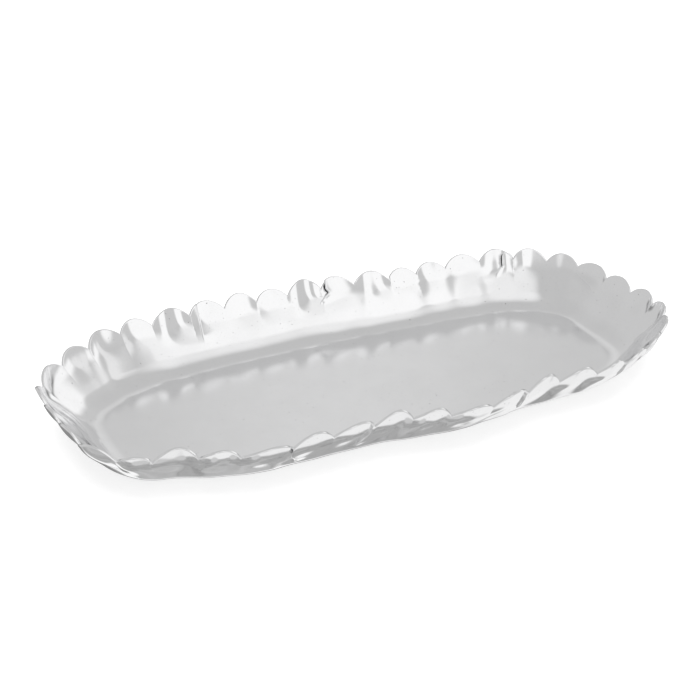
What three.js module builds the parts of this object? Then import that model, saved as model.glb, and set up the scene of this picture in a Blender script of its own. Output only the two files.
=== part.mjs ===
import * as THREE from "three";

// A long serving tray in mirror-polished cast metal: a flat floor whose edge sweeps up into a
// flared wall, and a rim of rounded petals. The wall folds over itself in places, and it is
// drawn as one leaf from fold to fold. Millimetres, +Z up, origin under the middle of the floor.

// ---- Driving dimensions -------------------------------------------------------------------

const HALF_LENGTH = 249; // plan outline through the notches between petals
const HALF_WIDTH = 115.5;
const SQUARENESS = 3.15; // exponent of the superellipse outline
const OUTLINE_CENTRE = [1.3, 2.6]; // puts the origin under the middle of the whole tray

const FLOOR_THICKNESS = 3;
const WALL_THICKNESS = 2.6;
const RIM_THICKNESS = 2.1;
const NOTCH_HEIGHT = 33; // top of the wall between two petals
const WALL_REACH = 40; // how far the floor's edge lies inside the notch outline
const COVE_RADIUS = 30; // sweep from the floor into the wall, on the inside
const PETAL_RISE = 10; // petal tip above the notches
const PETAL_STEEPNESS = 70; // degrees: the petals stand steeper than the wall below them
const PETAL_SKEW = 1.12; // above 1 moves a petal's tip towards its far end
const PETAL_ROUNDNESS = 0.62; // below 1 fills out a petal's shoulders

const CUP_DEPTH = 0.9; // a petal is cupped, hollow on the inside
const CUP_FOOT = 0.6; // share of the notches' path length where the cups begin
const FLOOR_SWAY = 0.4; // share of the rim's lean that reaches the floor's edge

const FOLD_LENGTH = 22; // along the rim, from a fold back to the shared surface
const FOLD_OPENING = 9; // path length over which the two leaves part
const FOLD_CLOSED = 1; // a fold no deeper than this is a crease, with no lap
const FOLD_OVERLAP = 3; // each leaf of a deeper fold laps past the fold's line by this much
const LAP_RISE = 5; // path length over which the lap grows, above the opening
const SLIT_SHARE = 0.4; // a leaf's edge draws back by this share of the depth where a fold opens
const GAP = 0.15; // half of the clearance between neighbouring solids

const SEAM_PATH = 5; // the floor piece ends this far up the wall, measured along it

const COLUMNS_PER_PETAL = 6;
const LEAF_ROWS = 11;
const ROW_CROWDING = 0.75; // below 1 brings a leaf's rows closer together towards the rim
const FLOOR_COLUMNS = 164;
const FLOOR_ROWS = 2;

// Leaves anticlockwise from the middle of the right-hand end, seen from above. Each petal is
// [width along the outline, tip height added, outward lean added at the rim, twist], where a
// positive twist makes the petal's near end stand out and its far end turn in. The fold where a
// leaf begins is [shift at the rim, shift at its foot, path length of its foot, depth]: the
// shifts are along the outline from the notch, and each leaf leaves the shared surface by the
// depth. The shallowest folds are only creases.
const LEAVES = [
  {
    name: "back_right_leaf",
    fold: [-1, -26, 38, 0.9],
    petals: [[28, -0.5, 0, 0.4], [29, 0.5, 4, -0.7]],
  },
  {
    name: "back_leaf_1",
    fold: [5, 16, 37, 2],
    petals: [
      [30, 0, 7, 1.6],
      [33, -0.5, 2, 0.5],
      [29, -1.5, -2, -0.3],
      [27, -1.5, -5, 0],
      [32, 1, -5, 1],
      [33, 0.5, -2, -0.4],
    ],
  },
  {
    name: "back_leaf_2",
    fold: [-9, 2, 41, 1.9],
    petals: [[31, 1.5, 1, 1.5], [28, -1, 0, -0.2], [29, 1.5, 0, 0.3], [31, 1, 0, -0.4]],
  },
  {
    name: "back_leaf_3",
    fold: [-8, -6, 30, 0.7],
    petals: [[34, 1.5, 0, 1.5], [28, -0.5, 3, -0.4], [33, 0, 2, -0.5]],
  },
  {
    name: "back_left_leaf",
    fold: [0, 0, 42, 0.3],
    petals: [[33, -0.5, -3, -0.5], [36, -1, -1, -0.5], [28, -0.5, 4, 0.3]],
  },
  { name: "left_end_leaf", fold: [0, 0, 42, 0.3], petals: [[30, -0.5, 2, 0.8], [34, 0, 0, 0.8]] },
  { name: "front_left_leaf", fold: [0, 0, 42, 0.3], petals: [[35, 0, 2, 0.8], [24, -2.5, 4, 0.8]] },
  {
    name: "front_leaf_1",
    fold: [-1, 0, 40, 0.5],
    petals: [[33, 3.5, -5, 0.9], [29, 0, 0, 0.9], [37, -2, 4, 0.9]],
  },
  { name: "front_leaf_2", fold: [0, 8, 26, 0.9], petals: [[33, 1.5, -2, 0.9], [34, -1.5, -5, 0.9]] },
  {
    name: "front_leaf_3",
    fold: [-2, -9, 26, 0.9],
    petals: [[30, 2.5, -7, 0.9], [28, 1, 2, 0.9], [34, -2, 8, 0.9], [34, -1.5, 3, 0.9]],
  },
  {
    name: "front_leaf_4",
    fold: [-2, 2, 27, 0.9],
    petals: [[31, 3, -4, 0.9], [34, 0.7, -2, 0.9], [27, 0, 4, 0.9]],
  },
  {
    name: "front_right_leaf",
    fold: [2, 4, 36, 0.5],
    petals: [[31, -0.5, 2, 0.9], [31, 0, -1, 0.9], [31, 0, -2, 0.9]],
  },
  {
    name: "right_end_leaf",
    fold: [0, 0, 42, 0.3],
    petals: [[24, -0.5, 1, 0.9], [29, -1, 0, 0.9], [34, -1.5, -3, 0.9], [33, -2, -2, 0.9]],
  },
];
const FIRST_NOTCH = 65; // outline distance of the first leaf's first notch from the +X end

const METAL = { color: 0xc8c9ca, roughness: 0.12, metalness: 1 };

// ---- Plan outline ---------------------------------------------------------------------------

function superellipsePoint(angle) {
  const power = 2 / SQUARENESS;
  const c = Math.cos(angle);
  const s = Math.sin(angle);
  return new THREE.Vector2(
    HALF_LENGTH * Math.sign(c) * Math.abs(c) ** power,
    HALF_WIDTH * Math.sign(s) * Math.abs(s) ** power,
  );
}

const OUTLINE_STEPS = 7200;
const outlinePoints = [];
for (let i = 0; i <= OUTLINE_STEPS; i += 1) {
  outlinePoints.push(superellipsePoint((2 * Math.PI * i) / OUTLINE_STEPS));
}
const outlineLengths = [0];
for (let i = 1; i <= OUTLINE_STEPS; i += 1) {
  outlineLengths.push(outlineLengths[i - 1] + outlinePoints[i].distanceTo(outlinePoints[i - 1]));
}
const PERIMETER = outlineLengths[OUTLINE_STEPS];

function wrap(distance) {
  return ((distance % PERIMETER) + PERIMETER) % PERIMETER;
}

// The outline's point and outward normal at a distance along it.
function outlineAt(distance) {
  const along = wrap(distance);
  let low = 0;
  let high = OUTLINE_STEPS;
  while (high - low > 1) {
    const middle = (low + high) >> 1;
    if (outlineLengths[middle] > along) high = middle;
    else low = middle;
  }
  const part = (along - outlineLengths[low]) / (outlineLengths[high] - outlineLengths[low]);
  const point = outlinePoints[low].clone().lerp(outlinePoints[high], part);
  const gradientX = Math.sign(point.x) * Math.abs(point.x / HALF_LENGTH) ** (SQUARENESS - 1);
  const gradientY = Math.sign(point.y) * Math.abs(point.y / HALF_WIDTH) ** (SQUARENESS - 1);
  const normal = new THREE.Vector2(gradientX / HALF_LENGTH, gradientY / HALF_WIDTH).normalize();
  return { point, normal };
}

// ---- Wall profile ---------------------------------------------------------------------------

// The inside profile runs from the floor's edge: an arc, a straight slope up to the notches,
// then steeper straight petals. The straight slope is tangent to the arc.
const INSIDE_RISE = NOTCH_HEIGHT - FLOOR_THICKNESS;
const CHORD = Math.hypot(WALL_REACH, INSIDE_RISE - COVE_RADIUS);
const WALL_ANGLE = Math.asin(COVE_RADIUS / CHORD) - Math.atan2(COVE_RADIUS - INSIDE_RISE, WALL_REACH);
const ARC_PATH = COVE_RADIUS * WALL_ANGLE;
const SLOPE_LENGTH = Math.sqrt(CHORD ** 2 - COVE_RADIUS ** 2);
const NOTCH_PATH = ARC_PATH + SLOPE_LENGTH;
const PETAL_ANGLE = THREE.MathUtils.degToRad(PETAL_STEEPNESS);
const PETAL_BEND = 16; // path length over which the slope turns to the petals' steepness

function smoothstep(value, from, to) {
  return THREE.MathUtils.smoothstep(value, from, to);
}

// Distance outside the floor's edge, and height, at a path length up the wall.
function profileAt(path) {
  if (path <= ARC_PATH) {
    const turned = path / COVE_RADIUS;
    return {
      reach: COVE_RADIUS * Math.sin(turned),
      height: FLOOR_THICKNESS + COVE_RADIUS * (1 - Math.cos(turned)),
    };
  }
  const bendStart = NOTCH_PATH - PETAL_BEND / 2;
  const bent = THREE.MathUtils.clamp(path - bendStart, 0, PETAL_BEND);
  const straight = Math.min(path, bendStart) - ARC_PATH;
  const beyond = Math.max(0, path - bendStart - PETAL_BEND);
  const bendRadius = PETAL_BEND / (PETAL_ANGLE - WALL_ANGLE);
  const bentAngle = WALL_ANGLE + bent / bendRadius;
  const bendReach = bendRadius * (Math.sin(bentAngle) - Math.sin(WALL_ANGLE));
  const bendHeight = bendRadius * (Math.cos(WALL_ANGLE) - Math.cos(bentAngle));
  return {
    reach:
      COVE_RADIUS * Math.sin(WALL_ANGLE) +
      straight * Math.cos(WALL_ANGLE) +
      bendReach +
      beyond * Math.cos(PETAL_ANGLE),
    height:
      FLOOR_THICKNESS +
      COVE_RADIUS * (1 - Math.cos(WALL_ANGLE)) +
      straight * Math.sin(WALL_ANGLE) +
      bendHeight +
      beyond * Math.sin(PETAL_ANGLE),
  };
}

// ---- Petals round the rim -------------------------------------------------------------------

const listedWidth = LEAVES.flatMap((leaf) => leaf.petals).reduce((sum, petal) => sum + petal[0], 0);
const WIDTH_SCALE = PERIMETER / listedWidth; // closes the ring of petals exactly
const petals = [];
let nextNotch = FIRST_NOTCH;
for (const leaf of LEAVES) {
  leaf.start = nextNotch;
  for (const [width, lift, lean, twist] of leaf.petals) {
    petals.push({ start: nextNotch, width: width * WIDTH_SCALE, lift, lean, twist });
    nextNotch += width * WIDTH_SCALE;
  }
  leaf.end = nextNotch;
}

function petalAt(distance) {
  const along = wrap(distance - FIRST_NOTCH) + FIRST_NOTCH;
  let index = petals.length - 1;
  while (petals[index].start > along) index -= 1;
  return { index, part: (along - petals[index].start) / petals[index].width };
}

// A petal's own value at its middle, blended smoothly into its neighbours' values.
function blended(key, index, part) {
  const count = petals.length;
  const other = part < 0.5 ? (index + count - 1) % count : (index + 1) % count;
  const share = 0.5 * smoothstep(Math.abs(part - 0.5), 0, 0.5);
  return petals[index][key] * (1 - share) + petals[other][key] * share;
}

// Path length up the wall to the rim.
function rimPath(distance) {
  const { index, part } = petalAt(distance);
  const lobe = Math.sin(Math.PI * part ** PETAL_SKEW) ** PETAL_ROUNDNESS;
  const lift = blended("lift", index, part);
  return NOTCH_PATH + (PETAL_RISE * lobe + lift * (0.4 + 0.6 * lobe)) / Math.sin(PETAL_ANGLE);
}

// ---- Surface --------------------------------------------------------------------------------

// The fold's line at a path length up the wall, as a distance along the outline.
function seamAt(notch, fold, path) {
  const [rimShift, footShift, footPath] = fold;
  return notch + THREE.MathUtils.lerp(footShift, rimShift, smoothstep(path, footPath, NOTCH_PATH));
}

// How far each of a fold's two leaves has left the shared surface.
function partedAt(fold, path) {
  const [, , footPath, depth] = fold;
  return depth * smoothstep(path, footPath, footPath + FOLD_OPENING);
}

// How far a leaf's edge reaches past the fold's line: it draws back where the leaves part, and
// laps over the neighbour once they have parted.
function edgeReach(fold, path) {
  const [, , footPath, depth] = fold;
  const slit = SLIT_SHARE * depth * smoothstep(path, footPath, footPath + FOLD_OPENING / 2);
  if (depth <= FOLD_CLOSED) return -slit - GAP;
  const lapFoot = footPath + FOLD_OPENING;
  const lap = (FOLD_OVERLAP + slit) * smoothstep(path, lapFoot, lapFoot + LAP_RISE);
  return lap - slit - GAP;
}

// Inside surface before a leaf leaves it at a fold.
function sharedPoint(distance, path) {
  const { point, normal } = outlineAt(distance);
  const { index, part } = petalAt(distance);
  const { reach, height } = profileAt(path);
  const sway = THREE.MathUtils.lerp(FLOOR_SWAY, 1, smoothstep(path, 0, NOTCH_PATH));
  const lean = blended("lean", index, part) * sway;
  const cupped = smoothstep(path, CUP_FOOT * NOTCH_PATH, NOTCH_PATH);
  const twist = petals[index].twist * Math.sin(2 * Math.PI * part);
  const cup = CUP_DEPTH * Math.sin(Math.PI * part) + twist;
  const outward = reach - WALL_REACH + lean + cup * cupped;
  return new THREE.Vector3(point.x + normal.x * outward, point.y + normal.y * outward, height);
}

// How far a leaf turns in, or out where negative, beside the folds at its two ends.
function foldOffset(leaf, nextFold, distance, path) {
  const fromStart = distance - seamAt(leaf.start, leaf.fold, path);
  const fromEnd = seamAt(leaf.end, nextFold, path) - distance;
  const atStart = partedAt(leaf.fold, path) * Math.max(0, 1 - fromStart / FOLD_LENGTH) ** 2;
  const atEnd = partedAt(nextFold, path) * Math.max(0, 1 - fromEnd / FOLD_LENGTH) ** 2;
  return atEnd - atStart;
}

const PROBE = 0.05;

function normalOf(surface, distance, path) {
  const alongOutline = surface(distance + PROBE, path).sub(surface(distance - PROBE, path));
  const upWall = surface(distance, path + PROBE).sub(surface(distance, path - PROBE));
  return upWall.cross(alongOutline).normalize();
}

function leafSurface(leaf, nextFold) {
  return (distance, path) => {
    const offset = foldOffset(leaf, nextFold, distance, path);
    const inward = normalOf(sharedPoint, distance, path);
    return sharedPoint(distance, path).addScaledVector(inward, offset);
  };
}

function thicknessAt(path) {
  const nearRim = smoothstep(path, 0.7 * NOTCH_PATH, 1.15 * NOTCH_PATH);
  const fromFloor = smoothstep(path, 0, ARC_PATH);
  const wall = THREE.MathUtils.lerp(FLOOR_THICKNESS, WALL_THICKNESS, fromFloor);
  return THREE.MathUtils.lerp(wall, RIM_THICKNESS, nearRim);
}

// ---- Solids ---------------------------------------------------------------------------------

// Collects shared vertices and triangles of one closed solid.
function solidBuilder() {
  const positions = [];
  const triangles = [];
  return {
    vertex(point) {
      positions.push(point.x, point.y, point.z);
      return positions.length / 3 - 1;
    },
    quad(a, b, c, d) {
      triangles.push(a, b, c, a, c, d);
    },
    triangle(a, b, c) {
      triangles.push(a, b, c);
    },
    mesh(name) {
      const geometry = new THREE.BufferGeometry();
      geometry.setAttribute("position", new THREE.Float32BufferAttribute(positions, 3));
      geometry.setIndex(triangles);
      geometry.computeVertexNormals();
      const mesh = new THREE.Mesh(geometry, new THREE.MeshStandardMaterial(METAL));
      mesh.name = name;
      return mesh;
    },
  };
}

// One leaf: an inside grid, an outside grid a wall's thickness away, and a ridged rim.
function makeLeaf(leaf, nextFold) {
  const surface = leafSurface(leaf, nextFold);
  const builder = solidBuilder();
  const columns = leaf.petals.length * COLUMNS_PER_PETAL;
  const inside = [];
  const outside = [];
  const ridge = [];
  for (let i = 0; i <= columns; i += 1) {
    const across = i / columns;
    const nominal = THREE.MathUtils.lerp(
      seamAt(leaf.start, leaf.fold, NOTCH_PATH),
      seamAt(leaf.end, nextFold, NOTCH_PATH),
      across,
    );
    const top = rimPath(nominal);
    inside.push([]);
    outside.push([]);
    for (let j = 0; j <= LEAF_ROWS; j += 1) {
      const path = THREE.MathUtils.lerp(SEAM_PATH + GAP, top, (j / LEAF_ROWS) ** ROW_CROWDING);
      const from = seamAt(leaf.start, leaf.fold, path) - edgeReach(leaf.fold, path);
      const to = seamAt(leaf.end, nextFold, path) + edgeReach(nextFold, path);
      const distance = THREE.MathUtils.lerp(from, to, across);
      const inner = surface(distance, path);
      const inward = normalOf(surface, distance, path);
      const thickness = thicknessAt(path);
      inside[i].push(builder.vertex(inner));
      outside[i].push(builder.vertex(inner.clone().addScaledVector(inward, -thickness)));
      if (j === LEAF_ROWS) {
        const up = surface(distance, path + PROBE).sub(inner).normalize();
        const middle = inner.clone().addScaledVector(inward, -thickness / 2);
        ridge.push(builder.vertex(middle.addScaledVector(up, thickness / 2)));
      }
    }
  }
  for (let i = 0; i < columns; i += 1) {
    for (let j = 0; j < LEAF_ROWS; j += 1) {
      builder.quad(inside[i][j], inside[i][j + 1], inside[i + 1][j + 1], inside[i + 1][j]);
      builder.quad(outside[i][j], outside[i + 1][j], outside[i + 1][j + 1], outside[i][j + 1]);
    }
    builder.quad(inside[i][0], inside[i + 1][0], outside[i + 1][0], outside[i][0]);
    builder.quad(inside[i][LEAF_ROWS], ridge[i], ridge[i + 1], inside[i + 1][LEAF_ROWS]);
    builder.quad(ridge[i], outside[i][LEAF_ROWS], outside[i + 1][LEAF_ROWS], ridge[i + 1]);
  }
  for (let j = 0; j < LEAF_ROWS; j += 1) {
    builder.quad(inside[0][j], outside[0][j], outside[0][j + 1], inside[0][j + 1]);
    const last = [inside[columns], outside[columns]];
    builder.quad(last[0][j], last[0][j + 1], last[1][j + 1], last[1][j]);
  }
  builder.triangle(inside[0][LEAF_ROWS], outside[0][LEAF_ROWS], ridge[0]);
  builder.triangle(inside[columns][LEAF_ROWS], ridge[columns], outside[columns][LEAF_ROWS]);
  return builder.mesh(leaf.name);
}

// The flat floor with the foot of the wall round it.
function makeFloor() {
  const builder = solidBuilder();
  const top = builder.vertex(new THREE.Vector3(0, 0, FLOOR_THICKNESS));
  const bottom = builder.vertex(new THREE.Vector3(0, 0, 0));
  const inside = [];
  const outside = [];
  for (let i = 0; i < FLOOR_COLUMNS; i += 1) {
    const distance = (PERIMETER * i) / FLOOR_COLUMNS;
    inside.push([]);
    outside.push([]);
    for (let j = 0; j <= FLOOR_ROWS; j += 1) {
      const path = ((SEAM_PATH - GAP) * j) / FLOOR_ROWS;
      const inner = sharedPoint(distance, path);
      const inward = j === 0 ? new THREE.Vector3(0, 0, 1) : normalOf(sharedPoint, distance, path);
      inside[i].push(builder.vertex(inner));
      outside[i].push(builder.vertex(inner.clone().addScaledVector(inward, -thicknessAt(path))));
    }
  }
  for (let i = 0; i < FLOOR_COLUMNS; i += 1) {
    const next = (i + 1) % FLOOR_COLUMNS;
    builder.triangle(top, inside[i][0], inside[next][0]);
    builder.triangle(bottom, outside[next][0], outside[i][0]);
    for (let j = 0; j < FLOOR_ROWS; j += 1) {
      builder.quad(inside[i][j], inside[i][j + 1], inside[next][j + 1], inside[next][j]);
      builder.quad(outside[i][j], outside[next][j], outside[next][j + 1], outside[i][j + 1]);
    }
    const insideTop = [inside[i][FLOOR_ROWS], inside[next][FLOOR_ROWS]];
    const outsideTop = [outside[i][FLOOR_ROWS], outside[next][FLOOR_ROWS]];
    builder.quad(insideTop[0], outsideTop[0], outsideTop[1], insideTop[1]);
  }
  return builder.mesh("floor_pan");
}

// ---- Assembly -------------------------------------------------------------------------------

const tray = new THREE.Group();
tray.position.set(OUTLINE_CENTRE[0], OUTLINE_CENTRE[1], 0);
tray.add(makeFloor());
LEAVES.forEach((leaf, index) => {
  const nextFold = LEAVES[(index + 1) % LEAVES.length].fold;
  tray.add(makeLeaf(leaf, nextFold));
});

export default tray;
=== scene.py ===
"""A long serving tray in mirror-polished cast metal, standing on a pale table in studio light."""
import math

import bmesh
import bpy
import numpy as np
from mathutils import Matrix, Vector
from mathutils.geometry import delaunay_2d_cdt


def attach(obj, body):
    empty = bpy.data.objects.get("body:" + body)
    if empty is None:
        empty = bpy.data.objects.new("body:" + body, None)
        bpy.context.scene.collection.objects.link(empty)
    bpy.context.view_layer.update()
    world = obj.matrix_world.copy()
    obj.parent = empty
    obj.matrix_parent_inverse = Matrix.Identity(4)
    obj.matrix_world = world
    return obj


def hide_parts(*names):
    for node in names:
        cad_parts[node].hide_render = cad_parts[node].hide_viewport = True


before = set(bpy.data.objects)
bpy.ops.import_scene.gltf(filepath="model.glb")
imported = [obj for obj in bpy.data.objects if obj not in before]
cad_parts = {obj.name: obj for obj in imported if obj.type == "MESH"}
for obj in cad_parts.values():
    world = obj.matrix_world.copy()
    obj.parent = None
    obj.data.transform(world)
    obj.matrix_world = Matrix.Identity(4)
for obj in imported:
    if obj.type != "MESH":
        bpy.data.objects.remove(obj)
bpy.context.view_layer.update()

MM = 0.001

# ---- Shape, in millimetres, as the CAD model has it ------------------------------------------

HALF_LENGTH = 249
HALF_WIDTH = 115.5
SQUARENESS = 3.15  # exponent of the superellipse outline through the notches
OUTLINE_CENTRE = (1.3, 2.6)  # puts the middle of the whole tray's box on the origin

FLOOR_THICKNESS = 3
WALL_THICKNESS = 2.6
RIM_THICKNESS = 2.1
NOTCH_HEIGHT = 33
WALL_REACH = 40  # how far the notches lie outside the floor's edge
COVE_RADIUS = 30
PETAL_RISE = 10
PETAL_STEEPNESS = math.radians(70)
PETAL_BEND = 16  # path length over which the wall bends up into the petals
PETAL_SKEW = 1.12  # 1 is a symmetrical petal, and more leans it the way the leaves are counted
PETAL_ROUNDNESS = 0.62
NOTCH_LIFT = 0.4  # share of a petal's lift that its notches take
FILED_REACH = 1.2  # how far along the rim a file rounds a notch
FILED_SPREAD = 0.7  # how fast the rounding fades within that reach
RIM_THINNING = (0.7, 1.15)  # shares of the notches' path length where the wall thins to the rim

CUP_DEPTH = 0.9
CUP_FOOT = 0.6  # share of the notches' path length where the cups begin
FLOOR_SWAY = 0.4  # share of the rim's lean that reaches the floor's edge
BLEND_SPREAD = 17  # how far along the outline a petal's own lean and lift fade out

SEAM_PATH = 5  # path length up the wall where the floor piece ends and the leaves begin
FOLD_LENGTH = 22  # how far along the leaf a fold's step fades out
FOLD_OVERLAP = 3  # how far each leaf of a lapped fold runs past its line
FOLD_OPENING = 9  # path length over which the two leaves part
FOLD_CLOSED = 1  # a fold no deeper than this is a crease, with no lap
LAP_RISE = 5  # path length over which the lap grows, above the opening

# Leaves anticlockwise from the right-hand end. A petal is [width, lift, lean, twist]. A fold is
# [shift at the rim, shift at its foot, path length of its foot, depth], with both shifts
# measured along the outline from the notch where the leaf begins.
LEAVES = [
    ("back_right_leaf", [-1, -26, 38, 0.9], [[28, -0.5, 0, 0.4], [29, 0.5, 4, -0.7]]),
    (
        "back_leaf_1",
        [5, 16, 37, 2],
        [
            [30, 0, 7, 1.6],
            [33, -0.5, 2, 0.5],
            [29, -1.5, -2, -0.3],
            [27, -1.5, -5, 0],
            [32, 1, -5, 1],
            [33, 0.5, -2, -0.4],
        ],
    ),
    (
        "back_leaf_2",
        [-9, 2, 41, 1.9],
        [[31, 1.5, 1, 1.5], [28, -1, 0, -0.2], [29, 1.5, 0, 0.3], [31, 1, 0, -0.4]],
    ),
    ("back_leaf_3", [-8, -6, 30, 0.7], [[34, 1.5, 0, 1.5], [28, -0.5, 3, -0.4], [33, 0, 2, -0.5]]),
    (
        "back_left_leaf",
        [0, 0, 42, 0.3],
        [[33, -0.5, -3, -0.5], [36, -1, -1, -0.5], [28, -0.5, 4, 0.3]],
    ),
    ("left_end_leaf", [0, 0, 42, 0.3], [[30, -0.5, 2, 0.8], [34, 0, 0, 0.8]]),
    ("front_left_leaf", [0, 0, 42, 0.3], [[35, 0, 2, 0.8], [24, -2.5, 4, 0.8]]),
    ("front_leaf_1", [-1, 0, 40, 0.5], [[33, 3.5, -5, 0.9], [29, 0, 0, 0.9], [37, -2, 4, 0.9]]),
    ("front_leaf_2", [0, 8, 26, 0.9], [[33, 1.5, -2, 0.9], [34, -1.5, -5, 0.9]]),
    (
        "front_leaf_3",
        [-2, -9, 26, 0.9],
        [[30, 2.5, -7, 0.9], [28, 1, 2, 0.9], [34, -2, 8, 0.9], [34, -1.5, 3, 0.9]],
    ),
    ("front_leaf_4", [-2, 2, 27, 0.9], [[31, 3, -4, 0.9], [34, 0.7, -2, 0.9], [27, 0, 4, 0.9]]),
    (
        "front_right_leaf",
        [2, 4, 36, 0.5],
        [[31, -0.5, 2, 0.9], [31, 0, -1, 0.9], [31, 0, -2, 0.9]],
    ),
    (
        "right_end_leaf",
        [0, 0, 42, 0.3],
        [[24, -0.5, 1, 0.9], [29, -1, 0, 0.9], [34, -1.5, -3, 0.9], [33, -2, -2, 0.9]],
    ),
]
FIRST_NOTCH = 65  # distance along the outline, from its right-hand end, of the first notch

# Hand polishing leaves the metal very slightly uneven: [height, wavelength], in millimetres.
FLOOR_UNEVENNESS = [[0.05, 95], [0.03, 60], [0.012, 34]]
WALL_UNEVENNESS = [[0.20, 70], [0.08, 36], [0.02, 15]]
WAVELENGTH_SPREAD = (0.75, 1.3)
FLOOR_FADE = 25  # how far in from its edge the floor's unevenness is full

# How finely the meshes are cut.
OUTLINE_SAMPLES = 14401
STATIONS_PER_PETAL = 30
STATION_EVENNESS = 0.3  # 0 crowds a petal's columns beside its notches, 1 spaces them evenly
SEAM_CLEARANCE = 0.25  # least distance from a leaf's sides to a column between them
CORNER_STATIONS = 6
WALL_ROWS = 44
COVE_ROWS = 14
BEAD_STEPS = 14
BEAD_SQUARENESS = 4  # exponent of the rim edge's superellipse section
EDGE_EVENING = 1.3  # length of edge over which its outward direction is evened out
FLOOR_SPACING = 6
FLOOR_MARGIN = 0.6  # least distance from the floor's outline to a point inside, in spacings


# ---- Plan outline ------------------------------------------------------------------------------


def smoothstep(value, low, high):
    """0 up to low, 1 from high on, and a smooth rise between them."""
    part = np.clip((value - low) / (high - low), 0, 1)
    return part * part * (3 - 2 * part)


def mix(first, second, part):
    return first + (second - first) * part


def unit(vectors):
    return vectors / np.linalg.norm(vectors, axis=-1, keepdims=True)


def superellipse(angle):
    """The outline's points at polar angles."""
    cosine = np.cos(angle)
    sine = np.sin(angle)
    along = np.abs(cosine / HALF_LENGTH) ** SQUARENESS
    across = np.abs(sine / HALF_WIDTH) ** SQUARENESS
    radius = (along + across) ** (-1 / SQUARENESS)
    return np.stack([radius * cosine, radius * sine], axis=-1)


OUTLINE_ANGLES = np.linspace(0, 2 * math.pi, OUTLINE_SAMPLES)
OUTLINE_STEPS = np.linalg.norm(np.diff(superellipse(OUTLINE_ANGLES), axis=0), axis=1)
OUTLINE_LENGTHS = np.concatenate([[0], np.cumsum(OUTLINE_STEPS)])
PERIMETER = OUTLINE_LENGTHS[-1]


def outline_at(distance):
    """The outline's points and outward normals at distances along it."""
    point = superellipse(np.interp(np.mod(distance, PERIMETER), OUTLINE_LENGTHS, OUTLINE_ANGLES))
    size = np.array([HALF_LENGTH, HALF_WIDTH])
    gradient = np.sign(point) * np.abs(point / size) ** (SQUARENESS - 1) / size
    return point, unit(gradient)


# ---- Wall profile ------------------------------------------------------------------------------

# An arc from the floor's edge, a straight slope tangent to it, a bend, then steeper petals.
INSIDE_RISE = NOTCH_HEIGHT - FLOOR_THICKNESS
CHORD = math.hypot(WALL_REACH, INSIDE_RISE - COVE_RADIUS)
WALL_ANGLE = math.asin(COVE_RADIUS / CHORD) - math.atan2(COVE_RADIUS - INSIDE_RISE, WALL_REACH)
ARC_PATH = COVE_RADIUS * WALL_ANGLE
NOTCH_PATH = ARC_PATH + math.sqrt(CHORD**2 - COVE_RADIUS**2)
BEND_START = NOTCH_PATH - PETAL_BEND / 2
BEND_RADIUS = PETAL_BEND / (PETAL_STEEPNESS - WALL_ANGLE)


def profile_at(path):
    """Distance outside the floor's edge, and height, at path lengths up the wall."""
    turned = np.clip(path, 0, ARC_PATH) / COVE_RADIUS
    straight = np.clip(path, ARC_PATH, BEND_START) - ARC_PATH
    bent = WALL_ANGLE + np.clip(path - BEND_START, 0, PETAL_BEND) / BEND_RADIUS
    beyond = np.maximum(path - BEND_START - PETAL_BEND, 0)
    reach = (
        COVE_RADIUS * np.sin(turned)
        + straight * math.cos(WALL_ANGLE)
        + BEND_RADIUS * (np.sin(bent) - math.sin(WALL_ANGLE))
        + beyond * math.cos(PETAL_STEEPNESS)
    )
    height = (
        FLOOR_THICKNESS
        + COVE_RADIUS * (1 - np.cos(turned))
        + straight * math.sin(WALL_ANGLE)
        + BEND_RADIUS * (math.cos(WALL_ANGLE) - np.cos(bent))
        + beyond * math.sin(PETAL_STEEPNESS)
    )
    return reach, height


# ---- Petals round the rim ----------------------------------------------------------------------

LISTED = np.array([petal for _, _, petals in LEAVES for petal in petals], float)
PETAL_WIDTHS = LISTED[:, 0] * PERIMETER / LISTED[:, 0].sum()
PETAL_STARTS = FIRST_NOTCH + np.concatenate([[0], np.cumsum(PETAL_WIDTHS)[:-1]])
PETAL_MIDDLES = PETAL_STARTS + PETAL_WIDTHS / 2
LIFTS = LISTED[:, 1]
LEANS = LISTED[:, 2]
TWISTS = LISTED[:, 3]


def petal_at(distance):
    """The petal at each distance, and how far across it the distance lies, from 0 to 1."""
    along = np.mod(distance - FIRST_NOTCH, PERIMETER) + FIRST_NOTCH
    index = np.searchsorted(PETAL_STARTS, along, side="right") - 1
    return index, (along - PETAL_STARTS[index]) / PETAL_WIDTHS[index]


def blended(values, distance):
    """The petals' own values, faded smoothly into each other along the outline."""
    apart = np.mod(distance[..., None] - PETAL_MIDDLES + PERIMETER / 2, PERIMETER) - PERIMETER / 2
    weight = np.exp(-((apart / BLEND_SPREAD) ** 2))
    return (weight * values).sum(axis=-1) / weight.sum(axis=-1)


def rim_path(distance):
    """Path length up the wall to the rim."""
    part = np.clip(petal_at(distance)[1], 0, 1)
    lobe = np.sin(math.pi * part**PETAL_SKEW) ** PETAL_ROUNDNESS
    lift = blended(LIFTS, distance)
    rise = PETAL_RISE * lobe + lift * mix(NOTCH_LIFT, 1, lobe)
    return NOTCH_PATH + rise / math.sin(PETAL_STEEPNESS)


def soft_rim_path(distance):
    """The rim with its notches rounded as a file leaves them."""
    offsets = np.linspace(-FILED_REACH, FILED_REACH, 9)
    weights = np.exp(-((offsets / FILED_SPREAD) ** 2))
    spread = rim_path(distance[..., None] + offsets)
    return (spread * weights).sum(axis=-1) / weights.sum()


# ---- Surface -----------------------------------------------------------------------------------

RANDOM = np.random.default_rng(seed=7)


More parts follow.
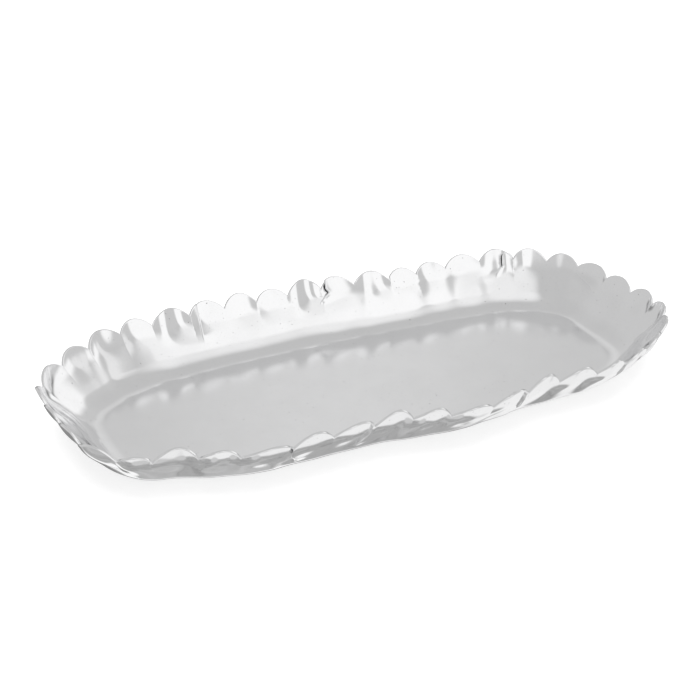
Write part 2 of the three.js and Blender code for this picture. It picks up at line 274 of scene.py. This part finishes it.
def make_unevenness(layers, waves_each=5):
    """A smooth irregular height over points in space, as a sum of waves in random directions."""
    waves = []
    for height, wavelength in layers:
        for _ in range(waves_each):
            direction = unit(RANDOM.normal(size=3))
            length = wavelength * RANDOM.uniform(*WAVELENGTH_SPREAD)
            phase = RANDOM.uniform(0, 2 * math.pi)
            waves.append((height / math.sqrt(waves_each), direction * 2 * math.pi / length, phase))

    def height_at(points):
        total = np.zeros(points.shape[:-1])
        for height, vector, phase in waves:
            total += height * np.sin(points @ vector + phase)
        return total

    return height_at


floor_unevenness = make_unevenness(FLOOR_UNEVENNESS)
wall_unevenness = make_unevenness(WALL_UNEVENNESS)


def shared_point(distance, path):
    """Inside surface before a leaf leaves it at a fold."""
    distance, path = np.broadcast_arrays(distance, path)
    point, outward = outline_at(distance)
    reach, height = profile_at(path)
    sway = mix(FLOOR_SWAY, 1, smoothstep(path, 0, NOTCH_PATH))
    lean = blended(LEANS, distance) * sway
    index, part = petal_at(distance)
    cup = CUP_DEPTH * np.sin(math.pi * part) + TWISTS[index] * np.sin(2 * math.pi * part)
    cupped = smoothstep(path, CUP_FOOT * NOTCH_PATH, NOTCH_PATH)
    offset = reach - WALL_REACH + lean + cup * cupped
    plan = point + outward * offset[..., None]
    smooth = np.concatenate([plan, height[..., None]], axis=-1)
    bumped = wall_unevenness(smooth) * smoothstep(path, 0, ARC_PATH)
    plan = plan + outward * bumped[..., None] + np.array(OUTLINE_CENTRE)
    return np.concatenate([plan, height[..., None]], axis=-1)


PROBE = 0.05  # the step over which slopes are measured


def normal_of(surface, distance, path):
    """Unit normals of a surface, towards the inside of the tray."""
    along = surface(distance + PROBE, path) - surface(distance - PROBE, path)
    upward = surface(distance, path + PROBE) - surface(distance, path - PROBE)
    return unit(np.cross(upward, along))


def seam_at(notch, fold, path):
    """The fold's line at path lengths up the wall."""
    rim_shift, foot_shift, foot_path, _ = fold
    return notch + mix(foot_shift, rim_shift, smoothstep(path, foot_path, NOTCH_PATH))


def parted_at(fold, path):
    """How far each of a fold's leaves has left the shared surface."""
    _, _, foot_path, depth = fold
    return depth * smoothstep(path, foot_path, foot_path + FOLD_OPENING)


def leaf_surface(start, fold, end, next_fold):
    """The inside surface of one leaf, which turns out at its start and in at its end."""

    def surface(distance, path):
        from_start = distance - seam_at(start, fold, path)
        from_end = seam_at(end, next_fold, path) - distance
        outward = parted_at(fold, path) * np.maximum(1 - from_start / FOLD_LENGTH, 0) ** 2
        inward = parted_at(next_fold, path) * np.maximum(1 - from_end / FOLD_LENGTH, 0) ** 2
        normal = normal_of(shared_point, distance, path)
        return shared_point(distance, path) + normal * (inward - outward)[..., None]

    return surface


def thickness_at(path):
    """The metal's thickness at path lengths up the wall."""
    wall = mix(FLOOR_THICKNESS, WALL_THICKNESS, smoothstep(path, 0, ARC_PATH))
    low, high = RIM_THINNING
    return mix(wall, RIM_THICKNESS, smoothstep(path, low * NOTCH_PATH, high * NOTCH_PATH))


# ---- Polished metal ----------------------------------------------------------------------------


class Nodes:
    """Short ways to add and join the nodes of one material or world."""

    def __init__(self, tree):
        self.tree = tree
        self.tree.nodes.clear()

    def add(self, kind, **settings):
        node = self.tree.nodes.new(kind)
        for key, value in settings.items():
            setattr(node, key, value)
        return node

    def join(self, source, target):
        """Links a socket to a socket, or sets the target's own value."""
        if isinstance(source, (int, float, tuple)):
            target.default_value = source
        else:
            self.tree.links.new(source, target)

    def math(self, operation, *values):
        node = self.add("ShaderNodeMath", operation=operation)
        for index, value in enumerate(values):
            self.join(value, node.inputs[index])
        return node.outputs[0]

    def noise(self, vector, scale, detail=2.0, roughness=0.5):
        node = self.add("ShaderNodeTexNoise")
        self.join(vector, node.inputs["Vector"])
        node.inputs["Scale"].default_value = scale
        node.inputs["Detail"].default_value = detail
        node.inputs["Roughness"].default_value = roughness
        return node.outputs["Fac"]

    def ramp(self, factor, stops):
        """A grey that follows the factor through stops of (position, grey)."""
        node = self.add("ShaderNodeValToRGB")
        elements = node.color_ramp.elements
        while len(elements) < len(stops):
            elements.new(0.5)
        for element, (position, value) in zip(elements, stops):
            element.position = position
            element.color = (value, value, value, 1)
        self.join(factor, node.inputs["Fac"])
        return node.outputs["Color"]

    def mix_colors(self, factor, first, second):
        node = self.add("ShaderNodeMixRGB")
        for socket, value in zip(node.inputs, (factor, first, second)):
            self.join(value, socket)
        return node.outputs[0]

    def rise(self, value, low, high):
        """A smooth step from 0 at low to 1 at high."""
        node = self.add("ShaderNodeMapRange", interpolation_type="SMOOTHSTEP")
        self.join(value, node.inputs["Value"])
        node.inputs["From Min"].default_value = low
        node.inputs["From Max"].default_value = high
        return node.outputs["Result"]

    def fall(self, value, low, high):
        """A smooth step from 1 at low to 0 at high."""
        return self.math("SUBTRACT", 1.0, self.rise(value, low, high))

    def product(self, *values):
        total = values[0]
        for value in values[1:]:
            total = self.math("MULTIPLY", total, value)
        return total

    def blend(self, share, first, second):
        """A number that goes from the first to the second as share goes from 0 to 1."""
        node = self.add("ShaderNodeMapRange")
        for key, value in (("Value", share), ("To Min", first), ("To Max", second)):
            self.join(value, node.inputs[key])
        return node.outputs["Result"]

    def scaled(self, vector, scale):
        node = self.add("ShaderNodeVectorMath", operation="MULTIPLY")
        self.join(vector, node.inputs[0])
        node.inputs[1].default_value = scale
        return node.outputs[0]

    def surface(self, shader, kind="ShaderNodeOutputMaterial"):
        """Makes a shader node the surface of the material or world."""
        output = self.add(kind)
        self.join(shader.outputs[0], output.inputs["Surface"])


def new_material(name):
    """A material and its nodes."""
    material = bpy.data.materials.new(name)
    material.use_nodes = True
    return material, Nodes(material.node_tree)


# Noise scales, in features to the metre: hazy patches, a fine mottle, and the pits and where
# they gather. The hairlines of the polishing mop are stretched along X, and some cross them.
PATCH_SCALE = 38
MOTTLE_SCALE = 420
PIT_SCALE = 900
PIT_PATCH_SCALE = 60
HAIRLINE_SCALE = 2600
HAIRLINE_STRETCH = (0.09, 1, 1)
CROSSING_SCALE = 1900
CROSSING_STRETCH = (1, 0.12, 1)

MOTTLE_SHARE = 0.3  # of the shading between the bright colour and the dull one
HAZE_CUT = (0.35, 0.68)  # levels of the patches where the metal is clear and where it is hazy
PIT_GATHERING = 0.12
PIT_CUT = (0.90, 0.93)  # levels where a pit begins and is full
PIT_COLOR = (0.16, 0.155, 0.15, 1)
PIT_ROUGHNESS = 0.3
PIT_DEPTH = 6  # against the hairlines' own depth of 1
MOTTLE_DEPTH = 1.2
HAIRLINE_ROUGHNESS = 0.03
BUMP_STRENGTH = 0.25
BUMP_DISTANCE = 0.00002

# Each metal's brightest and dullest colour, and its roughness where clear and where hazy.
FINISHES = {
    "floor_metal": [(0.93, 0.93, 0.935), (0.9, 0.9, 0.905), 0.10, 0.15],
    "leaf_metal": [(0.94, 0.94, 0.945), (0.9, 0.9, 0.905), 0.05, 0.10],
}


def polished_metal(name, bright, dull, clear, hazy):
    """Cast aluminium after buffing: fine hairlines, haze in patches, and scattered pits."""
    material, nodes = new_material(name)
    place = nodes.add("ShaderNodeTexCoord").outputs["Object"]
    along = nodes.scaled(place, HAIRLINE_STRETCH)
    across = nodes.scaled(place, CROSSING_STRETCH)

    patches = nodes.noise(place, PATCH_SCALE, detail=3, roughness=0.55)
    mottle = nodes.noise(place, MOTTLE_SCALE, detail=2, roughness=0.6)
    hairlines = nodes.noise(along, HAIRLINE_SCALE, detail=2, roughness=0.6)
    crossing = nodes.noise(across, CROSSING_SCALE, detail=2, roughness=0.6)
    pit_patches = nodes.noise(place, PIT_PATCH_SCALE, detail=1)
    pit_grain = nodes.noise(place, PIT_SCALE, detail=0)
    pit_level = nodes.math("MULTIPLY_ADD", pit_patches, PIT_GATHERING, pit_grain)
    pits = nodes.ramp(pit_level, list(zip(PIT_CUT, (0.0, 1.0))))

    fine_shade = nodes.math("MULTIPLY", mottle, MOTTLE_SHARE)
    shade = nodes.math("MULTIPLY_ADD", patches, 1 - MOTTLE_SHARE, fine_shade)
    shade = nodes.ramp(shade, [(0.3, 0.0), (0.7, 1.0)])
    color = nodes.mix_colors(shade, (*bright, 1), (*dull, 1))
    color = nodes.mix_colors(pits, color, PIT_COLOR)

    cloudy = nodes.ramp(patches, list(zip(HAZE_CUT, (clear, hazy))))
    lined = nodes.math("MULTIPLY_ADD", hairlines, HAIRLINE_ROUGHNESS, cloudy)
    rough = nodes.math("MULTIPLY_ADD", pits, PIT_ROUGHNESS, lined)

    texture = nodes.math("ADD", hairlines, crossing)
    texture = nodes.math("MULTIPLY_ADD", mottle, MOTTLE_DEPTH, texture)
    texture = nodes.math("MULTIPLY_ADD", pits, -PIT_DEPTH, texture)
    bump = nodes.add("ShaderNodeBump")
    bump.inputs["Strength"].default_value = BUMP_STRENGTH
    bump.inputs["Distance"].default_value = BUMP_DISTANCE
    nodes.join(texture, bump.inputs["Height"])

    shader = nodes.add("ShaderNodeBsdfPrincipled")
    shader.inputs["Metallic"].default_value = 1
    nodes.join(color, shader.inputs["Base Color"])
    nodes.join(rough, shader.inputs["Roughness"])
    nodes.join(bump.outputs["Normal"], shader.inputs["Normal"])
    nodes.surface(shader)
    return material


MATERIALS = {name: polished_metal(name, *finish) for name, finish in FINISHES.items()}


# ---- Meshes ------------------------------------------------------------------------------------


def grid_faces(index):
    """Quads between the rows and columns of a grid of vertex numbers."""
    corners = [index[:-1, :-1], index[:-1, 1:], index[1:, 1:], index[1:, :-1]]
    return np.stack([corner.reshape(-1) for corner in corners], axis=1)


class Shell:
    """Collects one closed surface: positions in millimetres, normals and faces."""

    def __init__(self):
        self.positions = []
        self.normals = []
        self.faces = []
        self.count = 0

    def add(self, positions, normals):
        """Adds vertices and returns their numbers in the same arrangement."""
        self.positions.append(positions.reshape(-1, 3))
        self.normals.append(normals.reshape(-1, 3))
        shape = positions.shape[:-1]
        numbers = self.count + np.arange(int(np.prod(shape))).reshape(shape)
        self.count += numbers.size
        return numbers

    def quads(self, index, flipped=False):
        """Adds the faces of a grid of vertex numbers."""
        faces = grid_faces(index)
        self.faces += (faces[:, ::-1] if flipped else faces).tolist()

    def polygon(self, numbers):
        """Adds one face."""
        self.faces.append([int(number) for number in numbers])

    def build(self, name, slot):
        mesh = bpy.data.meshes.new(name)
        mesh.from_pydata((np.concatenate(self.positions) * MM).tolist(), [], self.faces)
        mesh.update()
        mesh.shade_smooth()
        mesh.normals_split_custom_set_from_vertices(np.concatenate(self.normals).tolist())
        piece = bpy.data.objects.new(name + "_metal", mesh)
        bpy.context.scene.collection.objects.link(piece)
        piece.data.materials.append(MATERIALS[slot])
        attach(piece, "root")
        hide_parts(name)
        return piece


def lap_at(fold, path):
    """How far a leaf runs past the fold's line."""
    _, _, foot_path, depth = fold
    lap_foot = foot_path + FOLD_OPENING
    overlap = FOLD_OVERLAP if depth > FOLD_CLOSED else 0.0
    return overlap * smoothstep(path, lap_foot, lap_foot + LAP_RISE)


def rim_layout(low, high, low_lap, high_lap):
    """Distances along the rim for a leaf's columns, and how far each one's top is cut down.

    The columns crowd beside the notches, and a lapped corner is a quarter circle."""
    even = np.arange(STATIONS_PER_PETAL) / STATIONS_PER_PETAL
    crowded = (1 - np.cos(math.pi * even)) / 2
    shares = mix(crowded, even, STATION_EVENNESS)
    every = (PETAL_STARTS[:, None] + PETAL_WIDTHS[:, None] * shares).reshape(-1)
    every = np.concatenate([every - PERIMETER, every, every + PERIMETER])
    between = (every > low + SEAM_CLEARANCE) & (every < high - SEAM_CLEARANCE)
    inner = np.sort(every[between])
    turn = np.linspace(0, math.pi / 2, CORNER_STATIONS + 1)[1:]
    stations = np.concatenate([[low], inner, [high]])
    drops = np.zeros_like(stations)
    if low_lap:
        stations = np.concatenate([(low - low_lap * np.sin(turn))[::-1], stations])
        drops = np.concatenate([(low_lap * (1 - np.cos(turn)))[::-1], drops])
    if high_lap:
        stations = np.concatenate([stations, high + high_lap * np.sin(turn)])
        drops = np.concatenate([drops, high_lap * (1 - np.cos(turn))])
    return stations, np.clip(stations, low, high), drops


def outward_of_edge(points, normals):
    """Directions off a leaf's edge within its surface, evened out over sharp notches."""
    along = unit(np.gradient(points, axis=0))
    off = unit(np.cross(along, normals))
    steps = np.linalg.norm(np.diff(points, axis=0), axis=1)
    place = np.concatenate([[0], np.cumsum(steps)])
    weight = np.exp(-(((place[:, None] - place[None, :]) / EDGE_EVENING) ** 2))
    off = weight @ off
    off -= normals * (off * normals).sum(axis=1, keepdims=True)
    return unit(off)


def edge_section(turn):
    """A point on the rim edge's section: a filed edge, nearly square with rounded corners."""
    power = 2 / BEAD_SQUARENESS
    through = math.copysign(abs(math.cos(turn)) ** power, math.cos(turn))
    return through, math.sin(turn) ** power


def leaf_columns(start, fold, end, next_fold):
    """Shares of the leaf's width at its columns, and the path length up each to the rim."""
    low = seam_at(start, fold, NOTCH_PATH)
    high = seam_at(end, next_fold, NOTCH_PATH)
    laps = [lap_at(either, NOTCH_PATH) for either in (fold, next_fold)]
    stations, within, drops = rim_layout(low, high, *laps)
    across = (stations - stations[0]) / (stations[-1] - stations[0])
    return across, soft_rim_path(within) - drops


def foot_stations(start, fold, end, next_fold):
    """Where the leaf's columns stand along the outline, at the leaf's foot."""
    across, _ = leaf_columns(start, fold, end, next_fold)
    return mix(seam_at(start, fold, 0), seam_at(end, next_fold, 0), across)


def round_the_edge(grid):
    """A grid's values up its first side, along its top and down its last side."""
    return np.concatenate([grid[:, 0], grid[-1, 1:], grid[-2::-1, -1]])


def add_bead(shell, points, normals, thickness, inside, outside):
    """Joins a leaf's two faces round its edge, and returns the vertex numbers, row by row."""
    half = thickness[:, None] / 2
    middle = points - normals * half
    off = outward_of_edge(points, normals)
    power = BEAD_SQUARENESS - 1
    rows = [inside]
    for turn in np.linspace(0, math.pi, BEAD_STEPS + 1)[1:-1]:
        through, outward = edge_section(turn)
        place = middle + (normals * through + off * outward) * half
        rows.append(shell.add(place, unit(normals * through**power + off * outward**power)))
    rows.append(outside)
    bead = np.array(rows)
    shell.quads(bead, flipped=True)
    return bead


def make_leaf(name, start, fold, end, next_fold):
    """A closed shell: inside and outside faces, a rounded edge round three sides, and a foot."""
    surface = leaf_surface(start, fold, end, next_fold)
    across, tops = leaf_columns(start, fold, end, next_fold)
    path = mix(SEAM_PATH, tops[None, :], np.linspace(0, 1, WALL_ROWS + 1)[:, None])
    left = seam_at(start, fold, path) - lap_at(fold, path)
    right = seam_at(end, next_fold, path) + lap_at(next_fold, path)
    distance = mix(left, right, across[None, :])
    inner = surface(distance, path)
    normal = normal_of(surface, distance, path)
    thickness = thickness_at(path)
    outer = inner - normal * thickness[..., None]

    shell = Shell()
    inside = shell.add(inner, normal)
    outside = shell.add(outer, -normal)
    shell.quads(inside, flipped=True)
    shell.quads(outside)
    edge = round_the_edge(inner), round_the_edge(normal), round_the_edge(thickness)
    bead = add_bead(shell, *edge, round_the_edge(inside), round_the_edge(outside))
    shell.quads(np.array([outside[0], inside[0]]), flipped=True)
    shell.polygon(bead[:, 0])
    shell.polygon(bead[::-1, -1])
    return shell.build(name, "leaf_metal")


def flat_triangles(rim):
    """Points inside a closed outline and the triangles between them and it."""
    low = rim.min(axis=0)
    high = rim.max(axis=0)
    centre = (low + high) / 2
    across = np.arange(low[0], high[0], FLOOR_SPACING)
    along = np.arange(low[1], high[1], FLOOR_SPACING * math.sqrt(3) / 2)
    columns, rows = np.meshgrid(across, along)
    columns = columns + (np.arange(len(along)) % 2)[:, None] * FLOOR_SPACING / 2
    points = np.stack([columns.reshape(-1), rows.reshape(-1)], axis=1)

    def polar(places):
        offset = places - centre
        return np.arctan2(offset[:, 1], offset[:, 0]), np.hypot(offset[:, 0], offset[:, 1])

    rim_bearing, rim_reach = polar(rim)
    bearing, reach = polar(points)
    points = points[reach < np.interp(bearing, rim_bearing, rim_reach, period=2 * math.pi)]
    clearance = np.linalg.norm(points[:, None, :] - rim[None, :, :], axis=2).min(axis=1)
    kept = clearance > FLOOR_SPACING * FLOOR_MARGIN
    points = points[kept]
    places = [Vector(place) for place in np.concatenate([rim, points]).tolist()]
    outline = list(range(len(rim)))
    inside_only = 1
    tolerance = 1e-6
    _, _, faces, originals, *_ = delaunay_2d_cdt(places, [], [outline], inside_only, tolerance)
    source = [numbers[0] for numbers in originals]
    triangles = np.array([[source[corner] for corner in face] for face in faces])
    return points, clearance[kept], triangles


def floor_heights(points, clearance):
    """Heights and normals of the floor's uneven polished face."""
    fade = smoothstep(clearance, 0, FLOOR_FADE)

    def height_at(shift):
        flat = np.concatenate([points + shift, np.zeros((len(points), 1))], axis=1)
        return floor_unevenness(flat) * fade

    height = FLOOR_THICKNESS + height_at(np.zeros(2))
    slopes = []
    for axis in np.eye(2):
        slopes.append((height_at(axis * PROBE) - height_at(-axis * PROBE)) / (2 * PROBE))
    normal = unit(np.stack([-slopes[0], -slopes[1], np.ones(len(points))], axis=1))
    return height, normal


def make_floor(columns):
    """The flat floor, the foot of the wall round it and the underside, as one closed shell."""
    path = np.linspace(0, SEAM_PATH, COVE_ROWS + 1)
    columns, path = np.meshgrid(columns, path)
    inner = shared_point(columns, path)
    normal = normal_of(shared_point, columns, path)
    normal[0] = [0, 0, 1]
    outer = inner - normal * thickness_at(path)[..., None]

    shell = Shell()
    inside = shell.add(inner, normal)
    outside = shell.add(outer, -normal)
    ring = np.concatenate([np.arange(columns.shape[1]), [0]])
    shell.quads(inside[:, ring], flipped=True)
    shell.quads(outside[:, ring])
    shell.quads(np.array([inside[-1, ring], outside[-1, ring]]), flipped=True)

    points, clearance, triangles = flat_triangles(inner[0, :, :2])
    height, floor_normal = floor_heights(points, clearance)
    top = shell.add(np.column_stack([points, height]), floor_normal)
    down = np.tile([0.0, 0.0, -1.0], (len(points), 1))
    bottom = shell.add(np.column_stack([points, 0 * height]), down)
    upper = np.concatenate([inside[0], top])[triangles]
    lower = np.concatenate([outside[0], bottom])[triangles]
    shell.faces += upper.tolist()
    shell.faces += lower[:, ::-1].tolist()
    return shell.build("floor_pan", "floor_metal")


# Each leaf's name, then the notches and folds where it starts and ends.
leaf_spans = []
petal_count = 0
for index, (name, fold, leaf_petals) in enumerate(LEAVES):
    first = PETAL_STARTS[petal_count]
    petal_count += len(leaf_petals)
    last = PETAL_STARTS[petal_count - 1] + PETAL_WIDTHS[petal_count - 1]
    leaf_spans.append((name, first, fold, last, LEAVES[(index + 1) % len(LEAVES)][1]))

for name, *span in leaf_spans:
    make_leaf(name, *span)
foot_columns = [foot_stations(*span)[:-1] for _, *span in leaf_spans]
make_floor(np.concatenate(foot_columns))


# ---- Table and backdrop ------------------------------------------------------------------------

TABLE_REACH = 6
TABLE_DROP = 0.0001  # keeps the table's face just under the tray's
TABLE_GLOW = 0.6
TABLE_GRAIN_SCALE = 60
TABLE_GREYS = (0.62, 0.64)
BACKDROP_RADIUS = 5


def add_to_stage(name, mesh, material):
    mesh.materials.append(material)
    item = bpy.data.objects.new(name, mesh)
    bpy.context.scene.collection.objects.link(item)
    return item


def make_table():
    """A wide plain table top that glows a little, so that only a faint shadow shows."""
    material, nodes = new_material("table_paint")
    place = nodes.add("ShaderNodeTexCoord").outputs["Object"]
    grain = nodes.noise(place, TABLE_GRAIN_SCALE, detail=3)
    darker, lighter = TABLE_GREYS
    shader = nodes.add("ShaderNodeBsdfPrincipled")
    shader.inputs["Roughness"].default_value = 0.8
    shader.inputs["Specular IOR Level"].default_value = 0.1
    nodes.join(nodes.ramp(grain, [(0.3, darker), (0.7, lighter)]), shader.inputs["Base Color"])
    shader.inputs["Emission Color"].default_value = (1, 1, 1, 1)
    shader.inputs["Emission Strength"].default_value = TABLE_GLOW
    nodes.surface(shader)

    signs = [(-1, -1), (1, -1), (1, 1), (-1, 1)]
    corners = [(TABLE_REACH * across, TABLE_REACH * along, 0) for across, along in signs]
    mesh = bpy.data.meshes.new("table_top")
    mesh.from_pydata(corners, [], [(0, 1, 2, 3)])
    table = add_to_stage("table_top", mesh, material)
    table.location.z = -TABLE_DROP
    table.visible_glossy = False


def make_backdrop():
    """A plain white dome round the table, seen by the camera and by nothing else."""
    material, nodes = new_material("backdrop_white")
    nodes.surface(nodes.add("ShaderNodeEmission"))
    dome = bmesh.new()
    bmesh.ops.create_uvsphere(dome, u_segments=48, v_segments=24, radius=BACKDROP_RADIUS)
    mesh = bpy.data.meshes.new("backdrop")
    dome.to_mesh(mesh)
    dome.free()
    backdrop = add_to_stage("backdrop", mesh, material)
    for ray in ("diffuse", "glossy", "transmission", "volume_scatter", "shadow"):
        setattr(backdrop, "visible_" + ray, False)


# ---- Light -------------------------------------------------------------------------------------

# The room as the metal mirrors it, as brightnesses.
ROOM_LOW = 0.61
ROOM_HIGH = 0.56
CEILING_LIGHT = 0.9
TABLE_LIT = 0.91
TABLE_SHADED = 0.44
TABLE_NEAR = 0.62
TABLE_GREY = 0.54
WHITE_LINE = 1.0
EDGE_LINE = 0.45
DARK_LINE = 0.26

# All angles are in degrees, round from +X towards +Y or up from level. Every edge is soft, so it
# is a pair of angles. A patch is [left edge, right edge, lower edge, upper edge].
ROOM_CHANGE = (25, 60)  # where the room goes from its low brightness to its high one
TABLE_HORIZON = (-2, 2)
EDGE_LINE_BAND = [(-12, -9), (-2, 2)]

# Patches of the room, each with its brightness.
ROOM_PATCHES = [
    [(54, 64), (66, 76), (8, 20), (34, 50), 0.70],  # the far side, which the floor mirrors
    [(-142, -134), (-103, -99), (1, 6), (46, 62), 1.03],  # soft box, front left
    [(-82, -74), (-50, -44), (1, 6), (46, 62), 1.03],  # soft box, front right
    [(-14, -4), (26, 40), (4, 12), (20, 34), 1.0],  # low light on the right
    [(-30, -22), (-12, -6), (8, 20), (44, 60), 0.84],  # weaker light between those two
]
WHITE_LINE_PATCH = [(50, 55), (100, 120), (-55, -53), (-46, -44)]
DARK_LINE_PATCHES = [
    [(8, 20), (116, 126), (-33, -29), (6, 12)],
    [(50, 55), (100, 120), (-46, -44), (-30, -26)],
]

# Round patches: [direction, and the cosines of the angles from it where they begin and are full].
CEILING = [(0.097, -0.362, 0.927), 0.85, 0.98]
SHADE_UNDER_TRAY = [(0, 0.32, -0.947), 0.84, 0.875]
SPOT_NEARBY = [(0, -0.174, -0.985), 0.988, 0.995]

# Two stretches of the lit table are grey, so that the walls' outsides have shading from every
# side: a band of it on the left, outside LIT_SIDE, and a patch in front and to the right.
LIT_SIDE = [(-110, -90), (126, 146)]
GREY_BAND = [(-66, -56), (-24, -14)]
GREY_PATCH = [(-112, -92), (-16, -2), (-54, -46), (-24, -14)]

# The shade on the table is marbled, with thin darker threads in it.
SWIRL_STRETCH = (1, 1, 2.2)
SWIRL_SCALE = 3.4
SWIRL_CONTRAST = 0.5
GREY_CONTRAST = 0.7
THREAD_LEVEL = 0.52
THREAD_WIDTH = 0.022
THREAD_DARKENING = 0.62

FILL_STRENGTH = 1.6
FILL_ANGLE = math.radians(54)


def make_studio():
    """A grey room with soft lights in front, above and to the right, and a pale marbled table."""
    world = bpy.data.worlds.new("studio")
    world.use_nodes = True
    nodes = Nodes(world.node_tree)
    direction = nodes.add("ShaderNodeTexCoord").outputs["Generated"]
    parts = nodes.add("ShaderNodeSeparateXYZ")
    nodes.join(direction, parts.inputs[0])
    x, y, z = parts.outputs
    degrees = math.degrees(1)
    around = nodes.math("MULTIPLY", nodes.math("ARCTAN2", y, x), degrees)
    above = nodes.math("MULTIPLY", nodes.math("ARCSINE", z), degrees)

    def band(angle, low, high):
        """1 between two soft edges, and 0 outside them."""
        return nodes.product(nodes.rise(angle, *low), nodes.fall(angle, *high))

    def patch(left, right, low, high):
        return nodes.product(band(around, left, right), band(above, low, high))

    def round_patch(target, begins, full):
        terms = [nodes.math("MULTIPLY", axis, share) for axis, share in zip((x, y, z), target)]
        cosine = nodes.math("ADD", nodes.math("ADD", terms[0], terms[1]), terms[2])
        return nodes.rise(cosine, begins, full)

    def marbled(level, contrast):
        return nodes.math("MULTIPLY_ADD", swirl, contrast, level - contrast / 2)

    room = nodes.blend(nodes.rise(above, *ROOM_CHANGE), ROOM_LOW, ROOM_HIGH)
    room = nodes.blend(round_patch(*CEILING), room, CEILING_LIGHT)
    for *edges, brightness in ROOM_PATCHES:
        room = nodes.blend(patch(*edges), room, brightness)

    swirl = nodes.noise(nodes.scaled(direction, SWIRL_STRETCH), SWIRL_SCALE, detail=2, roughness=0.6)
    from_thread = nodes.math("ABSOLUTE", nodes.math("SUBTRACT", swirl, THREAD_LEVEL))
    thread = nodes.fall(from_thread, 0.0, THREAD_WIDTH)
    threads = nodes.blend(thread, 1.0, THREAD_DARKENING)
    shaded = nodes.product(marbled(TABLE_SHADED, SWIRL_CONTRAST), threads)
    table = nodes.blend(round_patch(*SHADE_UNDER_TRAY), TABLE_LIT, shaded)
    table = nodes.blend(round_patch(*SPOT_NEARBY), table, TABLE_NEAR)
    table = nodes.blend(patch(*WHITE_LINE_PATCH), table, WHITE_LINE)

    on_the_left = nodes.blend(band(around, *LIT_SIDE), band(above, *GREY_BAND), 0.0)
    grey = nodes.math("MAXIMUM", on_the_left, patch(*GREY_PATCH))
    table = nodes.blend(grey, table, marbled(TABLE_GREY, GREY_CONTRAST))

    whole = nodes.blend(nodes.rise(above, *TABLE_HORIZON), table, room)
    whole = nodes.blend(band(above, *EDGE_LINE_BAND), whole, EDGE_LINE)
    for edges in DARK_LINE_PATCHES:
        whole = nodes.blend(patch(*edges), whole, DARK_LINE)

    background = nodes.add("ShaderNodeBackground")
    nodes.join(whole, background.inputs["Color"])
    nodes.surface(background, "ShaderNodeOutputWorld")
    bpy.context.scene.world = world


def make_fill_light():
    """Soft light from above that lifts the table to white and isn't mirrored in the metal."""
    light = bpy.data.lights.new("fill", "SUN")
    light.energy = FILL_STRENGTH
    light.angle = FILL_ANGLE
    holder = bpy.data.objects.new("fill", light)
    holder.visible_glossy = False
    bpy.context.scene.collection.objects.link(holder)


# ---- Camera ------------------------------------------------------------------------------------

CAMERA_YAW = math.radians(-25.2)
CAMERA_PITCH = math.radians(27.35)
CAMERA_DISTANCE = 1.281
CAMERA_TARGET = Vector((0.0175, 0.0685, 0))
CAMERA_LENS = 78.3
SENSOR_WIDTH = 36


def make_camera():
    camera = bpy.data.cameras.new("camera")
    camera.lens = CAMERA_LENS
    camera.sensor_width = SENSOR_WIDTH
    holder = bpy.data.objects.new("camera", camera)
    bpy.context.scene.collection.objects.link(holder)
    back = Vector((math.sin(CAMERA_YAW), -math.cos(CAMERA_YAW), math.tan(CAMERA_PITCH))).normalized()
    holder.location = CAMERA_TARGET + back * CAMERA_DISTANCE
    holder.rotation_euler = back.to_track_quat("Z", "Y").to_euler()
    bpy.context.scene.camera = holder


make_table()
make_backdrop()
make_studio()
make_fill_light()
make_camera()
bpy.context.scene.view_settings.view_transform = "Standard"
